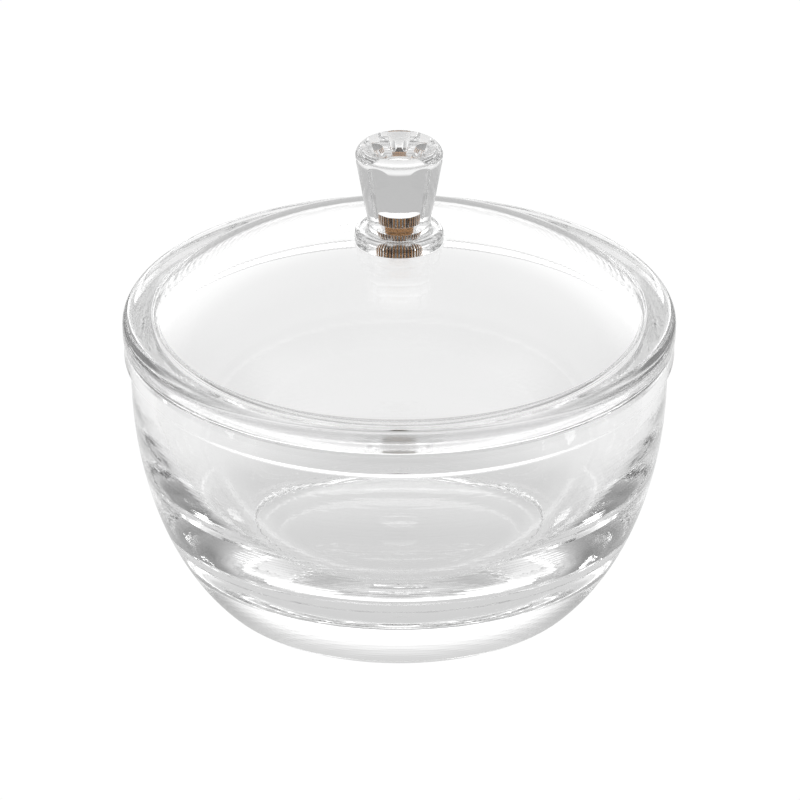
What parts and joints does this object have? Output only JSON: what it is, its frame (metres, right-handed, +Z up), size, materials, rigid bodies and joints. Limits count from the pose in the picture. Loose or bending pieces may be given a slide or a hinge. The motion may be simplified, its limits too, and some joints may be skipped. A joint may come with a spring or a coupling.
{
  "type": "covered glass dish",
  "caption": "Thick round clear glass dish with a bellied wall and a loose domed glass lid, lifted by a clear faceted knob screwed on from below.",
  "frame": {"origin": "centre of the foot ring, on the surface the dish stands on", "axes": "+Z up along the common axis of dish, lid and knob; X and Y are alike, the piece is round"},
  "size_m": [0.14, 0.14, 0.1208],
  "materials": {
    "dish_glass": "fire-polished clear soda-lime glass",
    "lid_glass": "fire-polished clear soda-lime glass",
    "knob_acrylic": "polished clear acrylic",
    "insert_brass": "turned and knurled",
    "screw_steel": "nickel plated",
    "washer_vinyl": "soft clear vinyl"
  },
  "bodies": {
    "dish_body": {"dish": "dish_glass"},
    "lid_body": {"lid": "lid_glass", "knob": "knob_acrylic", "threaded_insert": "insert_brass", "screw": "screw_steel", "washer": "washer_vinyl"}
  },
  "joints": [
    {"name": "lid_lift", "type": "slide", "parent": "dish_body", "child": "lid_body", "axis": [0, 0, 1], "range_m": [0, 0.08]}
  ]
}
